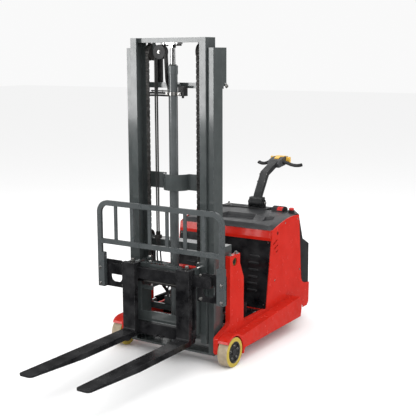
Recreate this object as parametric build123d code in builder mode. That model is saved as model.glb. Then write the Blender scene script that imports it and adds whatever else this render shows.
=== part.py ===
from build123d import *
import os

# Walkie stacker with a tilting two-stage mast and straddle legs.
# +X is the operator's left, +Y is the rear, +Z is up. Sizes are in millimetres.
# Every Y below is measured from the load wheel axle. write() moves each piece so that
# the origin lies on the floor under the middle of the truck's bounding box.

os.makedirs("parts", exist_ok=True)

# ---- driving dimensions -------------------------------------------------------------
FORK_TIP = -1231.0
REAR_END = 1574.0
AXLE_Y = -(FORK_TIP + REAR_END) / 2  # load axle, from the middle of the truck's length
RUNNING = 0.05  # radial clearance of a shaft in its hole
GAP = 0.5  # clearance between sliding or swinging pieces

# load wheels and legs
WHEEL_R = 100.0
WHEEL_W = 75.0
WHEEL_X = 436.5
TYRE_T = 27.0
HUB_FACE = 22.0
AXLE_R = 12.0
ARCH_R = 108.0
ARCH_Y = 3.0
LEG_IN, LEG_FACE, LEG_OUT = 359.0, 394.0, 474.0
LEG_LOW = 95.0
LEG_END = 962.0
PLATE_TOP = 235.0
PLATE_END = 600.0

# uprights and the mast's trunnions
UP_FRONT, UP_REAR, UP_FOOT = 73.0, 203.0, 253.0
UP_TOP = 720.0
PIVOT_Y, PIVOT_Z = 134.0, 674.0
PIN_R = 20.0
PIN_HEAD_R = 26.0
BEAM_X = 350.0

# body
BODY_X = 394.0
SHEET = 6.0
BODY_FRONT = 646.0
BODY_FOOT = 576.0
BAND_LOW, BAND_TOP = 719.0, 793.0
FLOOR_LOW, FLOOR_TOP = 160.0, 170.0
SKIRT_LOW = 104.0
SKIRT_TOP = 284.0
BODY_REAR = 1271.0

# drive unit, casters and tiller
STEER_Y = 1140.0
DRIVE_R, DRIVE_W = 100.0, 70.0
CASTER_X, CASTER_Y = 290.0, 1010.0
CASTER_R, CASTER_W = 62.0, 44.0
CASTER_TRAIL = 32.0
TILLER_Z = 896.0
KNUCKLE_R = 28.0
CONSOLE_TOP = 860.0

# mast
OUTER_X, OUTER_LIP = 339.0, 297.0
OUTER_Y = (-41.0, 69.0)
OUTER_Z = (75.0, 2072.0)
INNER_X, INNER_LIP = 293.0, 246.0
INNER_Y = (-61.0, 55.0)
INNER_Z = (139.0, 2136.0)
WEB, FLANGE = 12.0, 14.0
CYL_Y = 5.0
CYL_R, CYL_BORE, ROD_R = 30.0, 25.0, 17.5
CYL_TOP = 1953.0
CROSSHEAD_Z = 2106.0
SHEAVE_X, SHEAVE_Y, SHEAVE_Z = 198.0, 48.0, 2046.0
SHEAVE_R, CHAIN_R = 56.0, 50.0
HOSE_X, HOSE_Y = -85.0, (-20.0, 2.0)
HOSE_R, HOSE_TURN_R = 7.0, 40.0

# carriage, side shift and forks
CARRIAGE_FACE = -145.0
BAR_Y = (-191.5, -160.0)
BAR_HIGH, BAR_LOW = (560.0, 635.0), (180.0, 262.0)
BAR_X, BAR_LOW_X = 410.0, 270.0
FORK_X, FORK_W = 217.0, 100.0
SHANK_Y = (-230.0, -192.0)
BLADE_TOP = 202.0
FORK_T, TIP_T = 38.0, 12.0
SHANK_TOP = 666.0
REST_X, REST_BAR, REST_T = 504.0, 34.0, 20.0
REST_Z = (462.0, 1062.0)
REST_Y = -172.0
MID_RAIL_Z = 781.0
REST_BARS = (70.0, 210.0, 350.0)


# ---- helpers ------------------------------------------------------------------------
def block(x, y, z, mode=Mode.ADD):
    """A box between two X, two Y and two Z values, in the current part."""
    middle = tuple(sum(pair) / 2 for pair in (x, y, z))
    with Locations(middle):
        Box(abs(x[1] - x[0]), abs(y[1] - y[0]), abs(z[1] - z[0]), mode=mode)


def shaft_x(x, y, z, radius, mode=Mode.ADD):
    """A cylinder along X between two X values."""
    with Locations((sum(x) / 2, y, z)):
        Cylinder(radius, abs(x[1] - x[0]), rotation=(0, 90, 0), mode=mode)


def shaft_y(x, y, z, radius, mode=Mode.ADD):
    """A cylinder along Y between two Y values."""
    with Locations((x, sum(y) / 2, z)):
        Cylinder(radius, abs(y[1] - y[0]), rotation=(90, 0, 0), mode=mode)


def shaft_z(x, y, z, radius, mode=Mode.ADD):
    """A cylinder along Z between two Z values."""
    with Locations((x, y, sum(z) / 2)):
        Cylinder(radius, abs(z[1] - z[0]), mode=mode)


def write(piece, name):
    """Label a finished piece and write it, placed about the middle of the truck."""
    placed = piece.part.moved(Location((0, AXLE_Y, 0)))
    placed.label = name
    export_step(placed, f"parts/{name}.step")


def write_pair(left, name):
    """Write a left-hand piece and its mirror image."""
    write(left, f"{name}_left")
    with BuildPart() as right:
        mirror(left.part, about=Plane.YZ)
    write(right, f"{name}_right")


# ---- legs, uprights and load wheels -------------------------------------------------
with BuildPart() as leg:
    with BuildSketch(Plane.YZ.offset(LEG_FACE)):
        Polygon(
            (-84, 172), (-78, 188), (-58, 204), (-20, 216), (32, 217), (62, 206), (99, 185),
            (LEG_END, 247), (LEG_END + 26, 170), (LEG_END + 8, LEG_LOW), (137, LEG_LOW),
            (122, 62), (96, 62), (60, 172), align=None,
        )
        with Locations((ARCH_Y, WHEEL_R)):
            Circle(ARCH_R, mode=Mode.SUBTRACT)
    extrude(amount=LEG_OUT - LEG_FACE)
    chamfer(leg.faces().sort_by(Axis.X)[-1].edges().sort_by(Axis.Z)[-3:], 2.5)
write_pair(leg, "leg")

with BuildPart() as leg_plate:
    with BuildSketch(Plane.YZ.offset(LEG_IN)) as plate_outline:
        Polygon(
            (-82, 85), (-82, 203), (58, 251), (UP_FRONT, 272), (UP_FRONT, UP_TOP), (UP_REAR, UP_TOP),
            (UP_REAR, 655), (UP_FOOT, 545), (UP_FOOT, PLATE_TOP), (PLATE_END, PLATE_TOP),
            (PLATE_END, LEG_LOW), (60, 85), align=None,
        )
        foot = plate_outline.vertices().filter_by_position(Axis.X, UP_FOOT - 1, UP_FOOT + 1)
        fillet(foot.filter_by_position(Axis.Y, 230, 240), 18)
        fillet(plate_outline.vertices().filter_by_position(Axis.X, -83, -81), 20)
    extrude(amount=LEG_FACE - LEG_IN)
    shaft_x((LEG_IN, LEG_FACE), PIVOT_Y, PIVOT_Z, PIN_R, mode=Mode.SUBTRACT)
    shaft_x((LEG_FACE - 10, LEG_FACE), PIVOT_Y, PIVOT_Z, PIN_HEAD_R + 2, mode=Mode.SUBTRACT)
    shaft_x((LEG_IN, LEG_FACE), 0, WHEEL_R, AXLE_R, mode=Mode.SUBTRACT)
    for bolt_y in (UP_FRONT + 25, UP_REAR - 25):
        shaft_z((LEG_IN + LEG_FACE) / 2, bolt_y, (UP_TOP - 30, UP_TOP), 6, mode=Mode.SUBTRACT)
write_pair(leg_plate, "leg_plate")

with BuildPart() as load_axles:
    shaft_x((LEG_IN, WHEEL_X + 20), 0, WHEEL_R, AXLE_R)
    shaft_x((LEG_FACE, LEG_FACE + 4), 0, WHEEL_R, AXLE_R + 8)
    mirror(about=Plane.YZ)
write(load_axles, "load_axles")

wheel_faces = (WHEEL_X - WHEEL_W / 2, WHEEL_X + WHEEL_W / 2)
with BuildPart() as load_tyre:
    shaft_x(wheel_faces, 0, WHEEL_R, WHEEL_R)
    fillet(load_tyre.edges().filter_by(GeomType.CIRCLE), 5)
    shaft_x(wheel_faces, 0, WHEEL_R, WHEEL_R - TYRE_T, mode=Mode.SUBTRACT)
write_pair(load_tyre, "load_tyre")

with BuildPart() as load_hub:
    shaft_x((wheel_faces[0] + 3, wheel_faces[1] - 3), 0, WHEEL_R, WHEEL_R - TYRE_T)
    hub_recess = (wheel_faces[1] - 3 - 9, wheel_faces[1] - 3)
    shaft_x(hub_recess, 0, WHEEL_R, WHEEL_R - TYRE_T - 9, mode=Mode.SUBTRACT)
    shaft_x((hub_recess[0], hub_recess[1] + 1), 0, WHEEL_R, HUB_FACE)
    axle_hole = (wheel_faces[0], WHEEL_X + 20 + GAP)
    shaft_x(axle_hole, 0, WHEEL_R, AXLE_R + RUNNING, mode=Mode.SUBTRACT)
    for turn in range(5):
        spot = Vector(0, 0, 46).rotate(Axis.X, 72 * turn)
        shaft_x((hub_recess[0], hub_recess[0] + 6), spot.Y, WHEEL_R + spot.Z, 7)
write_pair(load_hub, "load_hub")

with BuildPart() as trunnion_pins:
    shaft_x((BEAM_X - 46, LEG_FACE - 4), PIVOT_Y, PIVOT_Z, PIN_R)
    shaft_x((LEG_FACE - 10, LEG_FACE - 4), PIVOT_Y, PIVOT_Z, PIN_HEAD_R)
    mirror(about=Plane.YZ)
write(trunnion_pins, "trunnion_pins")

with BuildPart() as upright_tie:
    block((-LEG_IN, LEG_IN), (193, UP_FOOT - 6), (528, 572))
    block((-LEG_IN, LEG_IN), (199, UP_FOOT - 12), (534, 566), mode=Mode.SUBTRACT)
write(upright_tie, "upright_tie")

# ---- chassis and body ---------------------------------------------------------------
TILT_HINGE_Y, TILT_Z, TILT_X = 400.0, 300.0, 300.0
with BuildPart() as deck_plate:
    block((-LEG_IN, LEG_IN), (262, BODY_FOOT), (PLATE_TOP - 16, PLATE_TOP - 10))
    block((-LEG_IN, LEG_IN), (370, 430), (150, PLATE_TOP - 16))
    for side in (-1, 1):
        for cheek in (-22, 16):
            lug = (side * TILT_X + cheek, side * TILT_X + cheek + 6)
            block(lug, (TILT_HINGE_Y - 22, TILT_HINGE_Y + 22), (PLATE_TOP - 10, TILT_Z + 20))
        pin = (side * TILT_X - 22, side * TILT_X + 22)
        shaft_x(pin, TILT_HINGE_Y, TILT_Z, 9)
write(deck_plate, "deck_plate")

with BuildPart() as chassis_base:
    side_x = BODY_X - SHEET
    block((-side_x, side_x), (PLATE_END, BODY_REAR), (FLOOR_LOW, FLOOR_TOP))
    block((-LEG_IN, LEG_IN), (BODY_FOOT, BODY_FOOT + 10), (LEG_LOW + 20, PLATE_TOP - 4))
    block((-LEG_IN, LEG_IN), (BODY_FOOT + 10, PLATE_END), (FLOOR_LOW, FLOOR_TOP))
    block((-side_x, side_x), (BODY_REAR - 10, BODY_REAR), (SKIRT_LOW + 12, SKIRT_TOP))
    for side in (-1, 1):
        wall = (side * (side_x - 8), side * side_x)
        block(wall, (PLATE_END, BODY_REAR - 10), (FLOOR_TOP, SKIRT_TOP - 50))
    block((-side_x + 8, side_x - 8), (975, 983), (FLOOR_TOP, 620))
    shaft_z(0, STEER_Y, (FLOOR_LOW, FLOOR_TOP), 112, mode=Mode.SUBTRACT)
    for side in (-1, 1):
        shaft_z(side * CASTER_X, CASTER_Y, (FLOOR_LOW, FLOOR_TOP), 10, mode=Mode.SUBTRACT)
        block((side * 368, side * side_x), (BODY_FRONT + 6, BODY_FRONT + 30), (FLOOR_TOP, BAND_LOW + 30))
    shaft_z(0, STEER_Y, (FLOOR_TOP, FLOOR_TOP + 16), 119)
    shaft_z(0, STEER_Y, (FLOOR_TOP, FLOOR_TOP + 16), 112, mode=Mode.SUBTRACT)
    with BuildSketch(Plane.YZ.offset(-side_x)):
        Polygon(
            (BODY_FRONT - 4, BAND_LOW), (BODY_FRONT - 4, BAND_LOW + 22), (BODY_FRONT + 6, BAND_TOP),
            (BODY_FRONT + 30, BAND_TOP), (BODY_FRONT + 30, BAND_TOP - 6), (BODY_FRONT + 12, BAND_TOP - 6),
            (BODY_FRONT + 6, BAND_LOW), align=None,
        )
    extrude(amount=2 * side_x)
write(chassis_base, "chassis_base")

PANEL_EDGE = ((657, 786), (705, 805), (781, 824), (859, 840), (939, 849), (1020, 849), (1083, 843))
with BuildPart() as side_panel:
    with BuildSketch(Plane.YZ.offset(BODY_X - SHEET)) as panel_outline:
        with BuildLine():
            crown = Spline(*PANEL_EDGE)
            Polyline(
                crown @ 1, (1131, 345), (1150, 315), (1180, 298), (BODY_REAR, SKIRT_TOP),
                (BODY_REAR - 5, 129), (1240, SKIRT_LOW), (1171, SKIRT_LOW), (1171, 124),
                (PLATE_END, 124), (PLATE_END, PLATE_TOP), (BODY_FOOT, PLATE_TOP), crown @ 0,
            )
        make_face()
    extrude(amount=SHEET)
    for slot_y, slot_z, slot_l in ((706, 701, 72), (718, 664, 60), (733, 630, 36)):
        with BuildSketch(Plane.YZ.offset(BODY_X - SHEET)):
            with Locations(Location((slot_y, slot_z), 22)):
                SlotOverall(slot_l, 9)
        extrude(amount=SHEET, mode=Mode.SUBTRACT)
    shaft_x((BODY_X - SHEET, BODY_X), 740, 762, 5, mode=Mode.SUBTRACT)
    block((BODY_X - SHEET, BODY_X), (737.5, 742.5), (742, 762), mode=Mode.SUBTRACT)
write_pair(side_panel, "side_panel")

lean = (BODY_FRONT - BODY_FOOT) / (BAND_LOW - PLATE_TOP)
with BuildPart() as front_panel:
    with BuildSketch(Plane.YZ.offset(-BODY_X + SHEET)):
        Polygon(
            (BODY_FOOT, PLATE_TOP), (BODY_FRONT, BAND_LOW), (BODY_FRONT + 5, BAND_LOW),
            (BODY_FOOT + 5, PLATE_TOP), align=None,
        )
    extrude(amount=2 * (BODY_X - SHEET))
    for row in range(6):
        row_z = 355 + 49 * row
        face_y = BODY_FOOT + lean * (row_z - PLATE_TOP)
        for side in (-1, 1):
            with Locations((side * 265, face_y, row_z)):
                Box(84, 10, 7)
write(front_panel, "front_panel")

with BuildPart() as top_cover:
    half = BODY_X - SHEET
    with BuildSketch(Plane.YZ.offset(-half)):
        Polygon(
            (BODY_FRONT + 4, BAND_TOP), (BODY_FRONT + 6, 800), (BODY_FRONT + 38, 829), (900, 847),
            (1090, 851), (1090, 838), (905, 833), (690, 812), (BODY_FRONT + 24, BAND_TOP), align=None,
        )
    extrude(amount=2 * half)
    for side in (-1, 1):
        with BuildSketch(Plane.XZ.offset(-500)):
            Polygon(
                (side * half, 846), (side * half, 900), (side * 300, 900), (side * 300, 858), align=None
            )
        extrude(amount=-700, mode=Mode.SUBTRACT)
    block((-120, 130), (745, 915), (822, 900), mode=Mode.SUBTRACT)
    block((-126, 136), (739, 921), (800, 826))
    block((-120, 130), (745, 915), (806, 900), mode=Mode.SUBTRACT)
    for side in (-1, 1):
        block((side * 215, side * 290), (770, 895), (818, 900), mode=Mode.SUBTRACT)
        block((side * 209, side * 296), (764, 901), (806, 828))
        block((side * 215, side * 290), (770, 895), (812, 900), mode=Mode.SUBTRACT)
write(top_cover, "top_cover")

# wedge cut off each rear corner of the console and the rear cover: plan outlines by height,
# from the shoulder, where nothing is cut yet, through the bend up to the console
CORNERS = (
    (575.0, ((400, BODY_REAR - 2), (420, BODY_REAR - 2), (420, 1300), (400, 1300))),
    (640.0, ((388, 1164), (420, 1164), (420, 1300), (279, 1300))),
    (900.0, ((388, 1070), (420, 1070), (420, 1300), (205, 1300))),
)


def cut_corners(inset=0.0):
    """Cut both rear corners off the current part, inset for the hollow inside it."""
    for side in (-1, 1):
        ends = []
        for height, outline in CORNERS:
            with BuildSketch(Plane.XY.offset(height - inset)) as end:
                Polygon(*[(side * (x - inset), y - inset) for x, y in outline], align=None)
            ends.append(end.sketch.face())
        for lower, upper in zip(ends, ends[1:]):
            loft(sections=[lower, upper], ruled=True, mode=Mode.SUBTRACT)


with BuildPart() as console:
    half = BODY_X - SHEET - 2
    block((-half, half), (1090, 1190), (830, 846))
    block((-290, 110), (1092, 1188), (846, CONSOLE_TOP))
    with BuildSketch(Plane.YZ.offset(150)):
        Polygon((1092, 846), (1104, 872), (1140, 884), (1176, 872), (1188, 846), align=None)
    extrude(amount=95)
    shaft_z(0, STEER_Y, (820, 900), 34, mode=Mode.SUBTRACT)
    shaft_z(300, STEER_Y, (846, 856), 24)
    shaft_z(300, STEER_Y, (820, 900), 10 + RUNNING, mode=Mode.SUBTRACT)
    cut_corners()
write(console, "console")

with BuildPart() as cover_hollow:
    half = BODY_X - 2 * SHEET - 2
    with BuildSketch(Plane.YZ.offset(-half)):
        Polygon(
            (1183, 830), (1190, 800), (1199, 704), (1256, 637), (BODY_REAR - 7, 598),
            (BODY_REAR - 7, SKIRT_TOP), (1060, SKIRT_TOP), (1060, 830), align=None,
        )
    extrude(amount=2 * half)
    cut_corners(SHEET - 1)

with BuildPart() as rear_cover:
    half = BODY_X - SHEET - 2
    with BuildSketch(Plane.YZ.offset(-half)):
        Polygon(
            (1190, 846), (1196, 800), (1206, 707), (1262, 640), (BODY_REAR - 1, 600),
            (BODY_REAR - 1, SKIRT_TOP), (1160, SKIRT_TOP), (1160, 330), (1084, 846), align=None,
        )
    extrude(amount=2 * half)
    cut_corners()
    add(cover_hollow.part, mode=Mode.SUBTRACT)
    block((-half, half), (1084, 1190), (830, 850), mode=Mode.SUBTRACT)
write(rear_cover, "rear_cover")

with BuildPart() as battery:
    block((-330, 330), (664, 965), (FLOOR_TOP, 690))
    fillet(battery.edges().filter_by(Axis.Z), 12)
    for cell in range(6):
        for row in range(2):
            shaft_z(-275 + 110 * cell, 740 + 150 * row, (690, 700), 22)
write(battery, "battery")

with BuildPart() as pump_unit:
    block((180, 360), (990, 1075), (FLOOR_TOP + 30, 470))
    shaft_y(270, (1075, 1175), 300, 55)
    block((210, 330), (1000, 1165), (FLOOR_TOP, 250))
    fillet(pump_unit.edges().filter_by(Axis.Y).group_by(Axis.Z)[-1], 10)
write(pump_unit, "pump_unit")

with BuildPart() as chassis_bolts:
    for side in (-1, 1):
        for bolt_y in (UP_FRONT + 25, UP_REAR - 25):
            x_mid = side * (LEG_IN + LEG_FACE) / 2
            with BuildSketch(Plane.XY.offset(UP_TOP)):
                with Locations((x_mid, bolt_y)):
                    RegularPolygon(12, 6)
            extrude(amount=11)
            shaft_z(x_mid, bolt_y, (UP_TOP - 28, UP_TOP), 6)
        for deck_y in (320, 496):
            shaft_z(side * 340, deck_y, (PLATE_TOP - 10, PLATE_TOP - 4), 10)
        for screw_z in (264, 705):
            face_y = BODY_FOOT + lean * (screw_z - PLATE_TOP)
            shaft_y(side * 370, (face_y - 4, face_y - 0.9), screw_z, 6)
write(chassis_bolts, "chassis_bolts")

# ---- drive unit, casters and tiller -------------------------------------------------
with BuildPart() as drive_unit:
    shaft_z(0, STEER_Y, (FLOOR_TOP + 16 + GAP, FLOOR_TOP + 34), 118)
    shaft_z(0, STEER_Y, (FLOOR_TOP, FLOOR_TOP + 30), 108)
    shaft_z(0, STEER_Y, (FLOOR_TOP + 34, 440), 75)
    shaft_z(0, STEER_Y, (440, 470), 60)
    shaft_z(0, STEER_Y, (470, CONSOLE_TOP + 3), 22)
    block((DRIVE_W / 2 + 4, DRIVE_W / 2 + 44), (STEER_Y - 55, STEER_Y + 55), (60, FLOOR_TOP))
    block((-DRIVE_W / 2 - 24, -DRIVE_W / 2 - 4), (STEER_Y - 45, STEER_Y + 45), (70, FLOOR_TOP))
    shaft_x((-DRIVE_W / 2 - 24, DRIVE_W / 2 + 44), STEER_Y, DRIVE_R, 16)
    wheel_room = (-DRIVE_W / 2 - 4, DRIVE_W / 2 + 4)
    shaft_x(wheel_room, STEER_Y, DRIVE_R, DRIVE_R + 8, mode=Mode.SUBTRACT)
    shaft_x((-DRIVE_W / 2 - 24, DRIVE_W / 2 + 44), STEER_Y, DRIVE_R, 16)
write(drive_unit, "drive_unit")

drive_faces = (-DRIVE_W / 2, DRIVE_W / 2)
with BuildPart() as drive_wheel:
    shaft_x(drive_faces, STEER_Y, DRIVE_R, DRIVE_R)
    fillet(drive_wheel.edges().filter_by(GeomType.CIRCLE), 6)
    for face in drive_faces:
        inward = face * 0.7
        shaft_x((face, inward), STEER_Y, DRIVE_R, DRIVE_R - 30, mode=Mode.SUBTRACT)
    shaft_x(drive_faces, STEER_Y, DRIVE_R, 16 + RUNNING, mode=Mode.SUBTRACT)
write(drive_wheel, "drive_wheel")

wheel_y = CASTER_Y + CASTER_TRAIL
with BuildPart() as caster_fork:
    shaft_z(CASTER_X, CASTER_Y, (136, FLOOR_LOW - GAP), 42)
    block((CASTER_X - 30, CASTER_X + 30), (CASTER_Y - 24, wheel_y + 20), (130, 140))
    for side in (-1, 1):
        cheek = (CASTER_X + side * (CASTER_W / 2 + 3), CASTER_X + side * (CASTER_W / 2 + 8))
        block(cheek, (wheel_y - 18, wheel_y + 18), (CASTER_R - 16, 136))
    shaft_x((CASTER_X - 30, CASTER_X + 30), wheel_y, CASTER_R, 8)
    shaft_z(CASTER_X, CASTER_Y, (FLOOR_LOW - 10, FLOOR_TOP - 1), 10 - RUNNING)
write_pair(caster_fork, "caster_fork")

caster_faces = (CASTER_X - CASTER_W / 2, CASTER_X + CASTER_W / 2)
with BuildPart() as caster_wheel:
    shaft_x(caster_faces, wheel_y, CASTER_R, CASTER_R)
    fillet(caster_wheel.edges().filter_by(GeomType.CIRCLE), 5)
    shaft_x(caster_faces, wheel_y, CASTER_R, 8 + RUNNING, mode=Mode.SUBTRACT)
write_pair(caster_wheel, "caster_wheel")

with BuildPart() as tiller_base:
    shaft_z(0, STEER_Y, (CONSOLE_TOP + 3, CONSOLE_TOP + 7), 68)
    for side in (-1, 1):
        with BuildSketch(Plane.YZ.offset(min(side * 56, side * 66))):
            with Locations((STEER_Y, TILLER_Z)):
                Circle(24)
            with Locations((STEER_Y, (CONSOLE_TOP + 5 + TILLER_Z) / 2)):
                Rectangle(48, TILLER_Z - CONSOLE_TOP - 5)
        extrude(amount=10)
    shaft_x((-70, 70), STEER_Y, TILLER_Z, 8)
write(tiller_base, "tiller_base")

ARM_PATH = ((STEER_Y + 10, 930), (1166, 962), (1262, 1108), (1424, 1172))
ARM_T, ARM_HALF = 19.0, 30.0
with BuildPart() as tiller_arm:
    with BuildSketch(Plane.YZ.offset(-55)):
        with Locations((STEER_Y, TILLER_Z)):
            Circle(KNUCKLE_R)
        with Locations((STEER_Y, TILLER_Z + 21)):
            Rectangle(2 * KNUCKLE_R, 42)
    extrude(amount=110)
    fillet(tiller_arm.edges().filter_by(Axis.X).group_by(Axis.Z)[-1], 9)
    with BuildSketch(Plane.YZ.offset(-ARM_HALF)):
        with BuildLine():
            arm_line = Polyline(*ARM_PATH)
            offset(arm_line, amount=ARM_T, kind=Kind.INTERSECTION)
        make_face()
    extrude(amount=2 * ARM_HALF)
    shaft_x((-55, 55), STEER_Y, TILLER_Z, 8 + RUNNING, mode=Mode.SUBTRACT)
write(tiller_arm, "tiller_arm")

HEAD_X = 52.0
with BuildPart() as tiller_head:
    with BuildSketch(Plane.YZ.offset(-HEAD_X)):
        Polygon(
            (1400, 1138), (1394, 1170), (1424, 1196), (1480, 1214), (1556, 1218), (1566, 1196),
            (1560, 1164), (1500, 1150), align=None,
        )
    extrude(amount=2 * HEAD_X)
    fillet(tiller_head.edges().filter_by(Axis.X), 4)
    with BuildSketch(Plane.YZ.offset(-ARM_HALF - 0.5)):
        with BuildLine():
            offset(Polyline(*ARM_PATH), amount=ARM_T, kind=Kind.INTERSECTION)
        make_face()
    extrude(amount=2 * ARM_HALF + 1, mode=Mode.SUBTRACT)
    shaft_x((-HEAD_X, HEAD_X), 1528, 1190, 9 + GAP, mode=Mode.SUBTRACT)
    block((-24, 24), (1544, 1570), (1172, 1202), mode=Mode.SUBTRACT)
    block((-20, 20), (1447, 1492), (1192, 1222), mode=Mode.SUBTRACT)
write(tiller_head, "tiller_head")

with BuildPart() as tiller_grips:
    for side in (-1, 1):
        with BuildLine() as grip_line:
            Spline(
                (side * HEAD_X, 1480, 1176), (side * 105, 1490, 1162), (side * 160, 1508, 1153),
                (side * 195, 1520, 1160), tangents=((side, 0, 0), (side * 0.9, 0.2, 0.35)),
            )
        with BuildSketch(Plane(grip_line.line @ 0, x_dir=(0, 1, 0), z_dir=grip_line.line % 0)):
            Ellipse(19, 13)
        sweep(path=grip_line.line)
write(tiller_grips, "tiller_grips")

with BuildPart() as throttle:
    shaft_x((-84, 84), 1528, 1190, 9)
    for side in (-1, 1):
        wing = (side * (HEAD_X + 2), side * 86)
        block(wing, (1516, 1540), (1181, 1199))
        block(wing, (1519, 1537), (1164, 1216))
    fillet(throttle.edges().filter_by(Axis.X).group_by(Axis.Z)[-1], 6)
write(throttle, "throttle_butterfly")

with BuildPart() as belly_button:
    block((-24 + GAP, 24 - GAP), (1553, REAR_END), (1172 + GAP, 1202 - GAP))
    fillet(belly_button.edges().group_by(Axis.Y)[-1], 5)
write(belly_button, "belly_button")

with BuildPart() as lift_rocker:
    with BuildSketch(Plane.YZ.offset(-20 + GAP)):
        Polygon((1453, 1202), (1453, 1210), (1469, 1215), (1485, 1220), (1485, 1206), (1469, 1199), align=None)
        with Locations((1469, 1203)):
            Circle(6)
    extrude(amount=2 * (20 - GAP))
write(lift_rocker, "lift_rocker")

with BuildPart() as emergency_stop:
    shaft_z(300, STEER_Y, (834, 864), 10)
    shaft_z(300, STEER_Y, (862, 878), 19)
    fillet(emergency_stop.edges().filter_by(GeomType.CIRCLE).sort_by(Axis.Z)[-1], 7)
write(emergency_stop, "emergency_stop")

# ---- outer mast ---------------------------------------------------------------------
with BuildPart() as outer_rail:
    block((OUTER_LIP, OUTER_X), OUTER_Y, OUTER_Z)
    inside = (OUTER_Y[0] + FLANGE, OUTER_Y[1] - FLANGE)
    block((OUTER_LIP, OUTER_X - WEB), inside, OUTER_Z, mode=Mode.SUBTRACT)
write_pair(outer_rail, "outer_rail")

CROSS_Y = (OUTER_Y[1], OUTER_Y[1] + 14)
with BuildPart() as outer_crossbars:
    block((-OUTER_X, OUTER_X), CROSS_Y, (1812, 1848))
    block((-OUTER_X, OUTER_X), (OUTER_Y[0], CROSS_Y[1]), (OUTER_Z[0] - 14, OUTER_Z[0]))
    block((-OUTER_X, OUTER_X), CROSS_Y, (OUTER_Z[0], 230))
    for side in (-1, 1):
        chain_x = (side * SHEAVE_X - 16, side * SHEAVE_X + 16)
        block(chain_x, (CROSS_Y[0], SHEAVE_Y + CHAIN_R + 10), (1812, 1824))
    block((OUTER_X - 4, OUTER_X), (OUTER_Y[1], 117), (1829, OUTER_Z[1]))
    shaft_x((OUTER_X - 4, OUTER_X), 105, 1845, 6, mode=Mode.SUBTRACT)
write(outer_crossbars, "outer_crossbars")

with BuildPart() as trunnion_beam:
    block((-BEAM_X, BEAM_X), (OUTER_Y[1], 165), (700, 780))
    block((-BEAM_X + 50, BEAM_X - 50), (OUTER_Y[1] + 10, 155), (710, 770), mode=Mode.SUBTRACT)
    for side in (-1, 1):
        lug = (side * (BEAM_X - 44), side * BEAM_X)
        block(lug, (OUTER_Y[1], 165), (636, 700))
    shaft_x((-BEAM_X, BEAM_X), PIVOT_Y, PIVOT_Z, PIN_R + RUNNING, mode=Mode.SUBTRACT)
    for side in (-1, 1):
        for cheek in (-22, 16):
            lug = (side * TILT_X + cheek, side * TILT_X + cheek + 6)
            block(lug, (OUTER_Y[1], 124), (TILT_Z - 22, TILT_Z + 22))
        shaft_x((side * TILT_X - 22, side * TILT_X + 22), 110, TILT_Z, 9)
    block((-OUTER_X, OUTER_X), CROSS_Y, (TILT_Z - 22, TILT_Z + 22))
write(trunnion_beam, "trunnion_beam")

with BuildPart() as lift_cylinder:
    shaft_z(0, CYL_Y, (OUTER_Z[0], CYL_TOP), CYL_R)
    shaft_z(0, CYL_Y, (OUTER_Z[0] + 30, CYL_TOP), CYL_BORE, mode=Mode.SUBTRACT)
    shaft_z(0, CYL_Y, (CYL_TOP - 50, CYL_TOP + 6), CYL_R + 3)
    shaft_z(0, CYL_Y, (CYL_TOP - 50, CYL_TOP + 6), ROD_R + RUNNING, mode=Mode.SUBTRACT)
    block((-20, 20), (CYL_Y + CYL_R - 2, CROSS_Y[0]), (1822, 1838))
    shaft_z(0, CYL_Y, (1800, 1860), CYL_BORE, mode=Mode.SUBTRACT)
write(lift_cylinder, "lift_cylinder")

with BuildPart() as tilt_barrels:
    for side in (-1, 1):
        centre = side * TILT_X
        shaft_y(centre, (205, TILT_HINGE_Y - 26), TILT_Z, 24)
        shaft_y(centre, (TILT_HINGE_Y - 26, TILT_HINGE_Y - 10), TILT_Z, 13)
        shaft_x((centre - 15, centre + 15), TILT_HINGE_Y, TILT_Z, 18)
        shaft_y(centre, (205, TILT_HINGE_Y - 34), TILT_Z, 14 + RUNNING, mode=Mode.SUBTRACT)
        shaft_x((centre - 15, centre + 15), TILT_HINGE_Y, TILT_Z, 9 + RUNNING, mode=Mode.SUBTRACT)
write(tilt_barrels, "tilt_barrels")

with BuildPart() as tilt_rods:
    for side in (-1, 1):
        centre = side * TILT_X
        shaft_y(centre, (125, 320), TILT_Z, 14)
        shaft_x((centre - 15, centre + 15), 110, TILT_Z, 22)
        shaft_x((centre - 15, centre + 15), 110, TILT_Z, 13, mode=Mode.SUBTRACT)
write(tilt_rods, "tilt_rods")

# ---- inner mast ---------------------------------------------------------------------
with BuildPart() as inner_rail:
    block((INNER_LIP, INNER_X), INNER_Y, INNER_Z)
    inside = (INNER_Y[0] + FLANGE, INNER_Y[1] - FLANGE)
    block((INNER_LIP, INNER_X - WEB), inside, INNER_Z, mode=Mode.SUBTRACT)
write_pair(inner_rail, "inner_rail")

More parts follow.
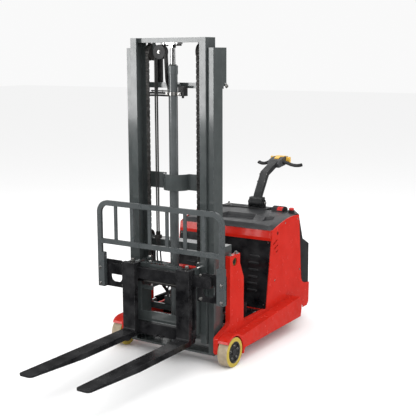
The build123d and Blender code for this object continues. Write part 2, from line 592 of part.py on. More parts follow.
BACK_Y = (INNER_Y[1] - 14, INNER_Y[1])
with BuildPart() as inner_crossbars:
    block((-INNER_X + WEB, INNER_X - WEB), (-30, INNER_Y[1] - FLANGE), (CROSSHEAD_Z, INNER_Z[1]))
    for side in (-1, 1):
        for cheek in (-21, 16):
            plate_x = (side * SHEAVE_X + cheek, side * SHEAVE_X + cheek + 5)
            block(plate_x, (SHEAVE_Y - 16, SHEAVE_Y + 16), (SHEAVE_Z - 20, CROSSHEAD_Z))
        shaft_x((side * SHEAVE_X - 21, side * SHEAVE_X + 21), SHEAVE_Y, SHEAVE_Z, 10)
    block((HOSE_X - 16, HOSE_X + 16), (12, 20), (SHEAVE_Z - 20, CROSSHEAD_Z))
    shaft_y(HOSE_X, (-32, 20), SHEAVE_Z, 10)
    block((-INNER_LIP, INNER_LIP), BACK_Y, (150, 260))
    with BuildSketch(Plane.XY.offset(1142)):
        with BuildLine():
            Polyline((-92, 43), (-INNER_LIP, 43), (-INNER_LIP, 53), (-92, 53))
            ThreePointArc((-92, 53), (0, -37), (92, 53))
            Polyline((92, 53), (INNER_LIP, 53), (INNER_LIP, 43), (92, 43))
            ThreePointArc((92, 43), (0, -47), (-92, 43))
        make_face()
    extrude(amount=108)
write(inner_crossbars, "inner_crossbars")

PISTON_Z = 430.0
with BuildPart() as lift_rod:
    shaft_z(0, CYL_Y, (PISTON_Z, CROSSHEAD_Z - 11), ROD_R)
    shaft_z(0, CYL_Y, (PISTON_Z, PISTON_Z + 30), CYL_BORE - RUNNING)
    block((-55, 55), (-26, 38), (CROSSHEAD_Z - 11, CROSSHEAD_Z))
    with BuildSketch(Plane.XY.offset(CROSSHEAD_Z - 33)):
        with Locations((0, CYL_Y)):
            RegularPolygon(26, 6)
    extrude(amount=22)
write(lift_rod, "lift_rod")

with BuildPart() as chain_sheaves:
    for side in (-1, 1):
        shaft_x((side * SHEAVE_X - 15, side * SHEAVE_X + 15), SHEAVE_Y, SHEAVE_Z, SHEAVE_R)
    for side in (-1, 1):
        with BuildSketch(Plane.XY.offset(SHEAVE_Z)):
            with Locations((side * SHEAVE_X, SHEAVE_Y + (SHEAVE_R + CHAIN_R - 7) / 2)):
                Rectangle(24, SHEAVE_R - CHAIN_R + 8)
        revolve(axis=Axis((0, SHEAVE_Y, SHEAVE_Z), (1, 0, 0)), mode=Mode.SUBTRACT)
        reach = (side * SHEAVE_X - 15, side * SHEAVE_X + 15)
        shaft_x(reach, SHEAVE_Y, SHEAVE_Z, 10 + RUNNING, mode=Mode.SUBTRACT)
write(chain_sheaves, "chain_sheaves")

with BuildPart() as hose_pulley:
    shaft_y(HOSE_X, (-30, 11), SHEAVE_Z, HOSE_TURN_R + 6)
    for groove_y in HOSE_Y:
        with BuildSketch(Plane.XY.offset(SHEAVE_Z)):
            with Locations((HOSE_X + HOSE_TURN_R, groove_y)):
                Circle(HOSE_R + 0.4)
            with Locations((HOSE_X + HOSE_TURN_R + 6, groove_y)):
                Rectangle(12, 2 * HOSE_R + 0.8)
        revolve(axis=Axis((HOSE_X, 0, SHEAVE_Z), (0, 1, 0)), mode=Mode.SUBTRACT)
    shaft_y(HOSE_X, (-30, 11), SHEAVE_Z, 10 + RUNNING, mode=Mode.SUBTRACT)
write(hose_pulley, "hose_pulley")

CHAIN_FRONT = SHEAVE_Y - CHAIN_R
CHAIN_FOOT, HOSE_FOOT = 666.0, 520.0
with BuildPart() as lift_chains:
    for side in (-1, 1):
        chain_x = (side * SHEAVE_X - 11, side * SHEAVE_X + 11)
        block(chain_x, (CHAIN_FRONT - 6, CHAIN_FRONT + 6), (CHAIN_FOOT, SHEAVE_Z))
write(lift_chains, "lift_chains")

with BuildPart() as mast_hoses:
    for hose_y in HOSE_Y:
        shaft_z(HOSE_X - HOSE_TURN_R, hose_y, (HOSE_FOOT, SHEAVE_Z), HOSE_R)
write(mast_hoses, "mast_hoses")

# ---- carriage, side shift, backrest and forks ---------------------------------------
ROLLER_R = 42.0
with BuildPart() as carriage_frame:
    for side in (-1, 1):
        block((side * 216, side * 240), (-124, 28), (205, 655))
        for roller_z in (265, 595):
            shaft_x((side * 240, side * 243), -3, roller_z, 20)
            shaft_x((side * 243, side * 276), -3, roller_z, ROLLER_R)
    for low, high in ((205, 325), (575, 655)):
        block((-240, 240), (-134, -124), (low, high))
    for low, high in ((215, 255), (585, 625)):
        block((-240, 240), (CARRIAGE_FACE, -134), (low, high))
    for side in (-1, 1):
        block((side * 182, side * 228), (-134, -124), (325, 575))
        block((side * 180, side * 228), (CHAIN_FRONT - 8, CHAIN_FRONT + 8), (640, CHAIN_FOOT))
    block((-216, -96), (-124, -116), (470, 500))
    block((-150, -96), (-116, 10), (488, 500))
    block((-150, -96), (-30, 10), (500, HOSE_FOOT))
write(carriage_frame, "carriage_frame")

RAM_Y, RAM_Z, RAM_R = -149.0, 536.0, 13.0
with BuildPart() as shift_cylinder:
    shaft_x((-140, 130), RAM_Y, RAM_Z, RAM_R)
    for ram_x in (-135, 110):
        block((ram_x, ram_x + 20), (RAM_Y, -134), (RAM_Z - 13, RAM_Z + 39))
    shaft_x((-141, 100), RAM_Y, RAM_Z, 7 + RUNNING, mode=Mode.SUBTRACT)
write(shift_cylinder, "shift_cylinder")

with BuildPart() as shift_frame:
    block((-BAR_X, BAR_X), BAR_Y, BAR_HIGH)
    block((-BAR_LOW_X, BAR_LOW_X), BAR_Y, BAR_LOW)
    fillet(shift_frame.edges().filter_by(Axis.Y).filter_by_position(Axis.Z, 500, 700), 22)
    block((-BAR_X + 40, BAR_X - 40), (-184, -168), (BAR_HIGH[1] - 10, BAR_HIGH[1]), mode=Mode.SUBTRACT)
    for side in (-1, 1):
        block((side * 246, side * 270), (BAR_Y[1], CARRIAGE_FACE - GAP), (BAR_LOW[0] + 20, 600))
        block((side * 60, side * 110), (BAR_Y[1], CARRIAGE_FACE - GAP), (588, 618))
        block((side * 60, side * 110), (BAR_Y[1], CARRIAGE_FACE - GAP), (218, 250))
    shaft_x((-270, -60), RAM_Y, RAM_Z, 7)
write(shift_frame, "shift_frame")

with BuildPart() as side_plates:
    with BuildSketch(Plane.XZ.offset(-BAR_Y[1])):
        Polygon((286, 462), (286, 610), (330, 650), (REST_X - 2, 650), (REST_X - 2, 462), align=None)
        with Locations((372, 545)):
            RectangleRounded(96, 96, 34, mode=Mode.SUBTRACT)
    extrude(amount=-12)
    mirror(about=Plane.YZ)
write(side_plates, "side_plates")

REST_FACE = REST_Y - REST_T
with BuildPart() as backrest:
    with BuildSketch(Plane.XZ.offset(-REST_Y)) as rest_outline:
        with Locations((0, sum(REST_Z) / 2)):
            Rectangle(2 * REST_X, REST_Z[1] - REST_Z[0])
        fillet(rest_outline.vertices().group_by(Axis.Y)[-1], 85)
        with BuildSketch(mode=Mode.SUBTRACT) as rest_opening:
            with Locations((0, (REST_Z[0] + REST_Z[1] - REST_BAR) / 2)):
                Rectangle(2 * (REST_X - REST_BAR), REST_Z[1] - REST_Z[0] - REST_BAR)
            fillet(rest_opening.vertices().group_by(Axis.Y)[-1], 85 - REST_BAR)
    extrude(amount=REST_T)
    block((-REST_X + 10, REST_X - 10), (REST_FACE, REST_Y), (MID_RAIL_Z - 16, MID_RAIL_Z + 16))
    for side in (-1, 1):
        for bar_x in REST_BARS:
            strip = (side * bar_x - 11, side * bar_x + 11)
            block(strip, (REST_FACE + 4, REST_Y - 4), (MID_RAIL_Z, REST_Z[1] - 10))
        block((side * (REST_X - 52), side * REST_X), (REST_FACE, BAR_Y[1]), (REST_Z[0], 700))
write(backrest, "backrest")

with BuildPart() as fork:
    with BuildSketch(Plane.YZ.offset(FORK_X - FORK_W / 2)) as fork_side:
        Polygon(
            (SHANK_Y[1], SHANK_TOP), (SHANK_Y[0], SHANK_TOP), (SHANK_Y[0], BLADE_TOP),
            (FORK_TIP, BLADE_TOP), (FORK_TIP, BLADE_TOP - TIP_T), (-760, BLADE_TOP - FORK_T),
            (SHANK_Y[1], BLADE_TOP - FORK_T), align=None,
        )
        heel = fork_side.vertices().sort_by_distance((SHANK_Y[1], BLADE_TOP - FORK_T))[0]
        fillet(heel, 30)
        root = fork_side.vertices().sort_by_distance((SHANK_Y[0], BLADE_TOP))[0]
        fillet(root, 14)
    extrude(amount=FORK_W)
    tip_edges = fork.edges().filter_by(Axis.Z).group_by(Axis.Y)[0]
    fillet(tip_edges, 26)
    hook_x = (FORK_X - FORK_W / 2 + 8, FORK_X + FORK_W / 2 - 8)
    block(hook_x, (SHANK_Y[1], BAR_Y[1] + 12), (BAR_HIGH[1] + GAP, SHANK_TOP - 4))
    block(hook_x, (BAR_Y[1] + GAP, BAR_Y[1] + 12), (BAR_HIGH[1] - 16, BAR_HIGH[1] + GAP))
    block(hook_x, (SHANK_Y[1] - 20, BAR_Y[1] + 12), (BAR_LOW[0] - 12, BAR_LOW[0] - GAP))
    block(hook_x, (BAR_Y[1] + GAP, BAR_Y[1] + 12), (BAR_LOW[0] - GAP, BAR_LOW[0] + 14))
    shaft_z(FORK_X, -176, (600, SHANK_TOP), 6 + RUNNING, mode=Mode.SUBTRACT)
write_pair(fork, "fork")

with BuildPart() as fork_pin:
    shaft_z(FORK_X, -176, (BAR_HIGH[1] - 8, SHANK_TOP + 12), 6)
    shaft_z(FORK_X, -176, (SHANK_TOP + 6, SHANK_TOP + 22), 13)
    fillet(fork_pin.edges().filter_by(GeomType.CIRCLE).sort_by(Axis.Z)[-1], 4)
write_pair(fork_pin, "fork_pin")
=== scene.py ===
import math

import bmesh
import bpy
from mathutils import Matrix, Vector


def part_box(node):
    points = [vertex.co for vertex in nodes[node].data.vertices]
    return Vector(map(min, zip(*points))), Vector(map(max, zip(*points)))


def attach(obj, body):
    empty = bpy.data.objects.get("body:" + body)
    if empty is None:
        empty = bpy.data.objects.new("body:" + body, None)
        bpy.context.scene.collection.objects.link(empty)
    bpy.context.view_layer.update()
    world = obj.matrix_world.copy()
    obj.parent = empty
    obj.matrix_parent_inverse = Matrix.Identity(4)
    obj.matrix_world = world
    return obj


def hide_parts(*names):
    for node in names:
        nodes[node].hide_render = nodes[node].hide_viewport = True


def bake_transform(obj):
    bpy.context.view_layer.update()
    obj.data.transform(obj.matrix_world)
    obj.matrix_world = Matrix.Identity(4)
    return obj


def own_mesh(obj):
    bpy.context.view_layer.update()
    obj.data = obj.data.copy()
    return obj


# The walkie stacker's visual model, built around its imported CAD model.
# P() and the Mesh class take millimetres, with Y measured from the load wheel axle.
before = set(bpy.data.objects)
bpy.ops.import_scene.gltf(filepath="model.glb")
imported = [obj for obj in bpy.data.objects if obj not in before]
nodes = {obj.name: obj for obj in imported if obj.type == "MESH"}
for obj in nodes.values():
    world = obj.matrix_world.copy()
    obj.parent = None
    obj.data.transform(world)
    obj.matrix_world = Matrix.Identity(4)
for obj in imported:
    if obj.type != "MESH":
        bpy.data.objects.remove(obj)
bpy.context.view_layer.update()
wheel_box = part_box("load_tyre_left")
AXLE = (wheel_box[0].y + wheel_box[1].y) / 2
MM = 0.001


def P(x, y, z):
    return Vector((x * MM, AXLE + y * MM, z * MM))


# ---- materials ----------------------------------------------------------------------
def material(
    name, color, rough, metal=0.0, coat=0.0, vary=0.12, vary_size=9.0, grain=0.0,
    grain_size=900.0, dust=0.0, scuff=0.0, edge=0.0, specular=0.5,
):
    """A procedural finish: clouded colour, uneven gloss, fine grain, scratches, dust near the
    floor and lighter worn edges."""
    mat = bpy.data.materials.new(name)
    mat.use_nodes = True
    tree = mat.node_tree
    link = tree.links.new
    shader = tree.nodes["Principled BSDF"]
    shader.inputs["Metallic"].default_value = metal
    shader.inputs["Coat Weight"].default_value = coat
    shader.inputs["Coat Roughness"].default_value = 0.08
    shader.inputs["Specular IOR Level"].default_value = specular

    def node(kind, **settings):
        made = tree.nodes.new(kind)
        for key, value in settings.items():
            if key in made.inputs:
                made.inputs[key].default_value = value
            else:
                setattr(made, key, value)
        return made

    def mix(a, b, factor):
        made = tree.nodes.new("ShaderNodeMix")
        made.data_type = "RGBA"
        for socket, value in ((6, a), (7, b), (0, factor)):
            if hasattr(value, "is_output"):
                link(value, made.inputs[socket])
            else:
                made.inputs[socket].default_value = value
        return made.outputs[2]

    def ramp(source, low, high, to_low=0.0, to_high=1.0):
        made = node("ShaderNodeMapRange")
        made.clamp = True
        link(source, made.inputs["Value"])
        made.inputs["From Min"].default_value = low
        made.inputs["From Max"].default_value = high
        made.inputs["To Min"].default_value = to_low
        made.inputs["To Max"].default_value = to_high
        return made.outputs["Result"]

    coords = node("ShaderNodeTexCoord").outputs["Object"]

    def noise(scale, detail=4.0, stretch=None):
        made = node("ShaderNodeTexNoise", Scale=scale, Detail=detail, Roughness=0.6)
        if stretch:
            mapped = node("ShaderNodeMapping")
            mapped.inputs["Scale"].default_value = stretch
            link(coords, mapped.inputs["Vector"])
            link(mapped.outputs["Vector"], made.inputs["Vector"])
        else:
            link(coords, made.inputs["Vector"])
        return made.outputs["Fac"]

    base = (*color, 1.0)
    dark = (*[c * (1 - vary) for c in color], 1.0)
    light = (*[min(1.0, c * (1 + vary) + 0.1 * vary) for c in color], 1.0)
    clouds = noise(vary_size)
    shade = mix(dark, light, ramp(clouds, 0.35, 0.65))
    shade = mix(base, shade, 0.8)
    rough_out = ramp(noise(vary_size * 2.3), 0.3, 0.7, max(0.02, rough - 0.07), min(1.0, rough + 0.07))
    if scuff:
        lines = ramp(noise(14.0, 6.0, (1.0, 9.0, 16.0)), 0.62, 0.72)
        lines2 = ramp(noise(11.0, 6.0, (18.0, 2.0, 1.2)), 0.64, 0.74)
        worn = node("ShaderNodeMath", operation="MAXIMUM")
        link(lines, worn.inputs[0])
        link(lines2, worn.inputs[1])
        amount = ramp(worn.outputs[0], 0.0, 1.0, 0.0, scuff)
        pale = (*[min(1.0, c * 1.6 + 0.06) for c in color], 1.0)
        shade = mix(shade, pale, amount)
    if edge:
        bevel = node("ShaderNodeBevel", samples=4, Radius=0.004)
        normal = node("ShaderNodeNewGeometry").outputs["Normal"]
        dot = node("ShaderNodeVectorMath", operation="DOT_PRODUCT")
        link(bevel.outputs["Normal"], dot.inputs[0])
        link(normal, dot.inputs[1])
        rubbed = ramp(dot.outputs["Value"], 0.995, 0.9)
        broken = ramp(noise(45.0, 5.0), 0.42, 0.62, 0.0, edge)
        both = node("ShaderNodeMath", operation="MULTIPLY")
        link(rubbed, both.inputs[0])
        link(broken, both.inputs[1])
        shade = mix(shade, (*[min(1.0, c * 1.3 + 0.18) for c in color], 1.0), both.outputs[0])
    if dust:
        height = node("ShaderNodeSeparateXYZ")
        link(node("ShaderNodeNewGeometry").outputs["Position"], height.inputs[0])
        low = ramp(height.outputs["Z"], 0.0, 0.32, dust, 0.0)
        patch = ramp(noise(26.0, 6.0), 0.35, 0.7)
        cover = node("ShaderNodeMath", operation="MULTIPLY")
        link(low, cover.inputs[0])
        link(patch, cover.inputs[1])
        shade = mix(shade, (0.42, 0.38, 0.33, 1.0), cover.outputs[0])
    link(shade, shader.inputs["Base Color"])
    link(rough_out, shader.inputs["Roughness"])
    if grain:
        bump = node("ShaderNodeBump", Strength=grain, Distance=0.0006)
        link(noise(grain_size, 3.0), bump.inputs["Height"])
        round_edge = node("ShaderNodeBevel", samples=4, Radius=0.0015)
        link(round_edge.outputs["Normal"], bump.inputs["Normal"])
        link(bump.outputs["Normal"], shader.inputs["Normal"])
    return mat


red = material("red_enamel", (0.52, 0.013, 0.005), 0.22, coat=0.12, vary=0.06, grain=0.04,
               grain_size=260.0, dust=0.10, scuff=0.0, edge=0.15, specular=0.22)
black = material("black_enamel", (0.004, 0.004, 0.005), 0.24, coat=0.0, vary=0.2, grain=0.03,
                 grain_size=320.0, edge=0.25, specular=0.12)
panel_black = material("black_panel_enamel", (0.003, 0.003, 0.004), 0.16, coat=0.0, vary=0.2,
                       grain=0.05, grain_size=260.0, scuff=0.01, edge=0.3, specular=0.2)
fork_black = material("fork_enamel", (0.004, 0.004, 0.005), 0.22, vary=0.25, grain=0.04,
                      grain_size=240.0, scuff=0.02, edge=0.35, specular=0.16)
mast_grey = material("mast_enamel", (0.050, 0.058, 0.058), 0.18, coat=0.6, vary=0.08, grain=0.05,
                     grain_size=260.0, scuff=0.03, edge=0.3, specular=0.45)
rest_grey = material("rest_enamel", (0.058, 0.066, 0.068), 0.30, coat=0.1, vary=0.10, grain=0.08,
                     grain_size=300.0, scuff=0.04, edge=0.3, specular=0.4)
tube_grey = material("cylinder_enamel", (0.080, 0.088, 0.090), 0.18, coat=0.5, vary=0.10, grain=0.04)
chrome = material("chrome", (0.80, 0.80, 0.80), 0.10, metal=1.0, vary=0.05, grain=0.02)
steel = material("bright_steel", (0.56, 0.55, 0.53), 0.28, metal=1.0, vary=0.15, grain=0.15,
                 grain_size=500.0, scuff=0.2, edge=0.2)
dark_steel = material("dark_oiled_steel", (0.030, 0.028, 0.026), 0.38, metal=0.6, vary=0.3,
                      grain=0.2, grain_size=400.0, edge=0.5)
brass = material("brass", (0.55, 0.38, 0.10), 0.30, metal=1.0, vary=0.2, grain=0.1)
hub_black = material("cast_hub", (0.012, 0.012, 0.013), 0.42, vary=0.3, grain=0.4,
                     grain_size=220.0, dust=0.1, edge=0.4)
cover_grey = material("moulded_cover", (0.026, 0.027, 0.029), 0.42, vary=0.10, grain=0.35,
                      grain_size=700.0, edge=0.25)
dark_plastic = material("moulded_dark", (0.012, 0.012, 0.013), 0.44, vary=0.15, grain=0.35,
                        grain_size=700.0, edge=0.3)
arm_black = material("tiller_enamel", (0.013, 0.014, 0.015), 0.34, coat=0.2, vary=0.2, grain=0.12,
                     grain_size=300.0, edge=0.5)
head_grey = material("tiller_head_plastic", (0.050, 0.052, 0.055), 0.45, vary=0.12, grain=0.3,
                     grain_size=700.0, edge=0.2)
grip_rubber = material("grip_rubber", (0.014, 0.014, 0.015), 0.62, vary=0.2, grain=0.5,
                       grain_size=420.0)
yellow = material("signal_yellow", (0.80, 0.47, 0.06), 0.35, coat=0.2, vary=0.10, grain=0.1,
                  grain_size=500.0, edge=0.2)
signal_red = material("signal_red", (0.62, 0.02, 0.015), 0.30, coat=0.3, vary=0.10, grain=0.1,
                      grain_size=500.0)
hose_black = material("hose_rubber", (0.012, 0.012, 0.012), 0.45, vary=0.2, grain=0.25,
                      grain_size=600.0)
glass_dark = material("display_window", (0.006, 0.010, 0.012), 0.06, coat=0.8, vary=0.2, grain=0.02)
battery_grey = material("battery_case", (0.030, 0.032, 0.035), 0.5, vary=0.2, grain=0.3, dust=0.1)


def tread_material(name, tread, wall):
    """Cast polyurethane: one colour on the running face, another on the side wall."""
    mat = material(name, tread, 0.62, vary=0.16, vary_size=30.0, grain=0.35, grain_size=260.0,
                   specular=0.35)
    tree = mat.node_tree
    link = tree.links.new
    shader = tree.nodes["Principled BSDF"]
    old = shader.inputs["Base Color"].links[0].from_socket
    split = tree.nodes.new("ShaderNodeSeparateXYZ")
    coords = tree.nodes.new("ShaderNodeTexCoord")
    link(coords.outputs["Normal"], split.inputs[0])
    side = tree.nodes.new("ShaderNodeMath")
    side.operation = "ABSOLUTE"
    link(split.outputs["X"], side.inputs[0])
    step = tree.nodes.new("ShaderNodeMapRange")
    link(side.outputs[0], step.inputs["Value"])
    step.inputs["From Min"].default_value = 0.25
    step.inputs["From Max"].default_value = 0.75
    cloud = tree.nodes.new("ShaderNodeTexNoise")
    cloud.inputs["Scale"].default_value = 40.0
    link(coords.outputs["Object"], cloud.inputs["Vector"])
    walls = tree.nodes.new("ShaderNodeMix")
    walls.data_type = "RGBA"
    walls.inputs[6].default_value = (*[c * 0.7 for c in wall], 1.0)
    walls.inputs[7].default_value = (*wall, 1.0)
    link(cloud.outputs["Fac"], walls.inputs[0])
    blend = tree.nodes.new("ShaderNodeMix")
    blend.data_type = "RGBA"
    link(step.outputs["Result"], blend.inputs[0])
    link(old, blend.inputs[6])
    link(walls.outputs[2], blend.inputs[7])
    link(blend.outputs[2], shader.inputs["Base Color"])
    return mat


tread = tread_material("wheel_polyurethane", (0.36, 0.29, 0.20), (0.56, 0.42, 0.06))
drive_tread = tread_material("drive_polyurethane", (0.20, 0.10, 0.04), (0.34, 0.17, 0.05))

PAINT = {
    red: "leg_left leg_right leg_plate_left leg_plate_right upright_tie side_panel_left "
         "side_panel_right chassis_base",
    panel_black: "front_panel",
    black: "deck_plate shift_frame side_plates tiller_base caster_fork_left caster_fork_right "
           "drive_unit tilt_barrels",
    fork_black: "fork_left fork_right",
    mast_grey: "outer_rail_left outer_rail_right outer_crossbars trunnion_beam inner_rail_left "
               "inner_rail_right inner_crossbars carriage_frame",
    rest_grey: "backrest",
    tube_grey: "lift_cylinder",
    chrome: "lift_rod tilt_rods",
    steel: "load_axles chassis_bolts fork_pin_left fork_pin_right",
    dark_steel: "chain_sheaves lift_chains shift_cylinder trunnion_pins",
    hub_black: "load_hub_left load_hub_right",
    tread: "load_tyre_left load_tyre_right caster_wheel_left caster_wheel_right",
    drive_tread: "drive_wheel",
    cover_grey: "top_cover",
    dark_plastic: "console rear_cover hose_pulley pump_unit",
    battery_grey: "battery",
    arm_black: "tiller_arm",
    head_grey: "tiller_head",
    grip_rubber: "tiller_grips",
    yellow: "throttle_butterfly lift_rocker",
    signal_red: "belly_button emergency_stop",
    hose_black: "mast_hoses",
}
for finish, names in PAINT.items():
    for name in names.split():
        nodes[name].data.materials.clear()
        nodes[name].data.materials.append(finish)


# ---- mesh building ------------------------------------------------------------------
class Mesh:
    """Collects closed shapes, in millimetres, and turns them into one piece."""

    def __init__(self):
        self.bm = bmesh.new()

    def block(self, x, y, z, turn=None):
        size = Vector((x[1] - x[0], y[1] - y[0], z[1] - z[0])) * MM
        centre = P((x[0] + x[1]) / 2, (y[0] + y[1]) / 2, (z[0] + z[1]) / 2)
        matrix = Matrix.Translation(centre)
        if turn:
            matrix = matrix @ Matrix.Rotation(math.radians(turn[0]), 4, turn[1])
        bmesh.ops.create_cube(self.bm, size=1.0, matrix=matrix @ Matrix.Diagonal((*size, 1.0)))
        return self

    def rod(self, start, end, r, r2=None, sides=24):
        a, b = P(*start), P(*end)
        d = b - a
        spin = Vector((0, 0, 1)).rotation_difference(d.normalized()).to_matrix().to_4x4()
        bmesh.ops.create_cone(
            self.bm, cap_ends=True, segments=sides, radius1=r * MM,
            radius2=(r if r2 is None else r2) * MM, depth=d.length,
            matrix=Matrix.Translation((a + b) / 2) @ spin,
        )
        return self

    def bolt(self, at, axis, r=8.0, h=6.0, washer=True):
        """Hexagon head with a chamfered top, on a washer."""
        a = Vector(at)
        n = Vector(axis).normalized()
        if washer:
            self.rod(a, a + n * 1.6, r * 1.35)
            a = a + n * 1.6
        self.rod(a, a + n * h * 0.8, r, sides=6)
        self.rod(a + n * h * 0.8, a + n * h, r, r * 0.82, sides=6)
        return self

    def ring(self, at, axis, inner, outer, thick, sides=32):
        n = Vector(axis).normalized()
        spin = Vector((0, 0, 1)).rotation_difference(n)
        rows = []
        for radius, lift in ((inner, 0), (outer, 0), (outer, thick), (inner, thick)):
            row = []
            for k in range(sides):
                t = 2 * math.pi * k / sides
                offset = spin @ Vector((radius * math.cos(t), radius * math.sin(t), lift))
                row.append(self.bm.verts.new(P(*(Vector(at) + offset))))
            rows.append(row)
        for i in range(4):
            one, two = rows[i], rows[(i + 1) % 4]
            for k in range(sides):
                m = (k + 1) % sides
                self.bm.faces.new((one[k], one[m], two[m], two[k]))
        return self

    def prism(self, outline, axis, low, high):
        """outline is in the two axes left over, in X, Y, Z order."""
        rings = []
        for level in (low, high):
            row = []
            for a, b in outline:
                point = {"X": (level, a, b), "Y": (a, level, b), "Z": (a, b, level)}[axis]
                row.append(self.bm.verts.new(P(*point)))
            rings.append(row)
        count = len(outline)
        self.bm.faces.new(rings[0][::-1])
        self.bm.faces.new(rings[1])
        for k in range(count):
            m = (k + 1) % count
            self.bm.faces.new((rings[0][k], rings[0][m], rings[1][m], rings[1][k]))
        return self

    def tube(self, points, r, sides=12, steps=8):
        """A smooth round tube through the points."""
        path = smooth_path(points, steps)
        frames = []
        normal = None
        for i, p in enumerate(path):
            ahead = path[min(i + 1, len(path) - 1)] - path[max(i - 1, 0)]
            tangent = ahead.normalized()
            if normal is None:
                normal = tangent.orthogonal().normalized()
            normal = (normal - tangent * normal.dot(tangent)).normalized()
            frames.append((p, normal, tangent.cross(normal)))
        rows = []
        for p, n, b in frames:
            row = []
            for k in range(sides):
                t = 2 * math.pi * k / sides
                row.append(self.bm.verts.new(P(*(p + (n * math.cos(t) + b * math.sin(t)) * r))))
            rows.append(row)
        for one, two in zip(rows, rows[1:]):
            for k in range(sides):
                m = (k + 1) % sides
                self.bm.faces.new((one[k], one[m], two[m], two[k]))
        self.bm.faces.new(rows[0][::-1])
        self.bm.faces.new(rows[-1])
        return self

    def done(self, name, body, finish, bevel=0.8, smooth=40):
        bmesh.ops.recalc_face_normals(self.bm, faces=self.bm.faces)
        mesh = bpy.data.meshes.new(name)
        self.bm.to_mesh(mesh)
        self.bm.free()
        obj = bpy.data.objects.new(name, mesh)
        bpy.context.scene.collection.objects.link(obj)
        mesh.materials.append(finish)
        if bevel:
            cut = obj.modifiers.new("soft_edges", "BEVEL")
            cut.width = bevel * MM
            cut.segments = 2
            cut.limit_method = "ANGLE"
            cut.angle_limit = math.radians(35)
        mesh.polygons.foreach_set("use_smooth", [True] * len(mesh.polygons))
        mesh.set_sharp_from_angle(angle=math.radians(smooth))
        if body:
            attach(obj, body)
        return obj


def smooth_path(points, steps):
    """Catmull-Rom points through the given ones."""
    pts = [Vector(p) for p in points]
    if len(pts) == 2 or steps <= 1:
        return pts
    ends = [pts[0] * 2 - pts[1], *pts, pts[-1] * 2 - pts[-2]]
    out = []
    for i in range(1, len(ends) - 2):
        a, b, c, d = ends[i - 1:i + 3]
        for k in range(steps):
            t = k / steps
            out.append(
                0.5 * (2 * b + (c - a) * t + (2 * a - 5 * b + 4 * c - d) * t * t
                       + (3 * b - a - 3 * c + d) * t ** 3)
            )
    out.append(pts[-1])
    return out


# ---- lift chains --------------------------------------------------------------------
sheave_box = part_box("chain_sheaves")
SHEAVE_Y = ((sheave_box[0].y + sheave_box[1].y) / 2 - AXLE) / MM
SHEAVE_X, SHEAVE_Z, CHAIN_R = 198.0, 2046.0, 50.0
RUN_Y, BACK_Y = SHEAVE_Y - CHAIN_R, SHEAVE_Y + CHAIN_R
CHAIN_FOOT, CHAIN_ANCHOR, PITCH = 666.0, 1824.0, 19.05
PLATE_R, PLATE_HALF, PIN_R, PIN_HALF = 7.2, 1.3, 3.4, 12.0
OUTER_ROWS, INNER_ROWS = (-9.4, -3.2, 3.2, 9.4), (-6.3, 0.0, 6.3)
SIDES = ((1, "left"), (-1, "right"))


def chain_links(mesh, x, points):
    """Leaf chain along points in the Y-Z plane: plates in alternating rows, and pins."""
    for i in range(len(points) - 1):
        a, b = Vector((0, *points[i])), Vector((0, *points[i + 1]))
        along = (b - a).normalized()
        side = Vector((0, -along.z, along.y))
        ends = []
        for centre, way in ((a, -along), (b, along)):
            for angle in (-60, -20, 20, 60):
                t = math.radians(angle)
                lift = math.sin(t) if way == along else -math.sin(t)
                ends.append(centre + (way * math.cos(t) + side * lift) * PLATE_R)
        for row in OUTER_ROWS if i % 2 else INNER_ROWS:
            mesh.prism([(p.y, p.z) for p in ends], "X", x + row - PLATE_HALF, x + row + PLATE_HALF)
    for y, z in points:
        mesh.rod((x - PIN_HALF, y, z), (x + PIN_HALF, y, z), PIN_R, sides=10)
    return mesh


def straight(y, low, high):
    count = round((high - low) / PITCH)
    return [(y, low + (high - low) * k / count) for k in range(count + 1)]


front_run = Mesh()
rear_run = Mesh()
wraps = Mesh()
turn_steps = 8
for side in (-1, 1):
    x = side * SHEAVE_X
    chain_links(front_run, x, straight(RUN_Y, CHAIN_FOOT, SHEAVE_Z))
    chain_links(rear_run, x, straight(BACK_Y, CHAIN_ANCHOR, SHEAVE_Z))
    arc = []
    for k in range(turn_steps + 1):
        t = math.pi * k / turn_steps
        arc.append((SHEAVE_Y - CHAIN_R * math.cos(t), SHEAVE_Z + CHAIN_R * math.sin(t)))
    chain_links(wraps, x, arc)
chain_piece = front_run.done("chain_runs_front", "carriage", dark_steel, bevel=0)
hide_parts("lift_chains")
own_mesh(chain_piece)
wraps.done("chain_wraps", "inner_mast", dark_steel, bevel=0)
rear_piece = rear_run.done("chain_runs_rear", None, dark_steel, bevel=0)
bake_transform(rear_piece)

anchors = Mesh()
for side in (-1, 1):
    x = side * SHEAVE_X
    anchors.rod((x, RUN_Y, 606), (x, RUN_Y, 668), 7)
    anchors.bolt((x, RUN_Y, 640), (0, 0, -1), 12, 10)
    anchors.block((x - 11, x + 11), (RUN_Y - 7, RUN_Y + 7), (650, 676))
anchors.done("chain_anchors_carriage", "carriage", steel)
anchors = Mesh()
for side in (-1, 1):
    x = side * SHEAVE_X
    anchors.rod((x, BACK_Y, 1768), (x, BACK_Y, 1826), 7)
    anchors.bolt((x, BACK_Y, 1812), (0, 0, -1), 12, 10)
    anchors.block((x - 11, x + 11), (BACK_Y - 7, BACK_Y + 7), (1822, 1842))
anchors.done("chain_anchors_mast", "outer_mast", steel)

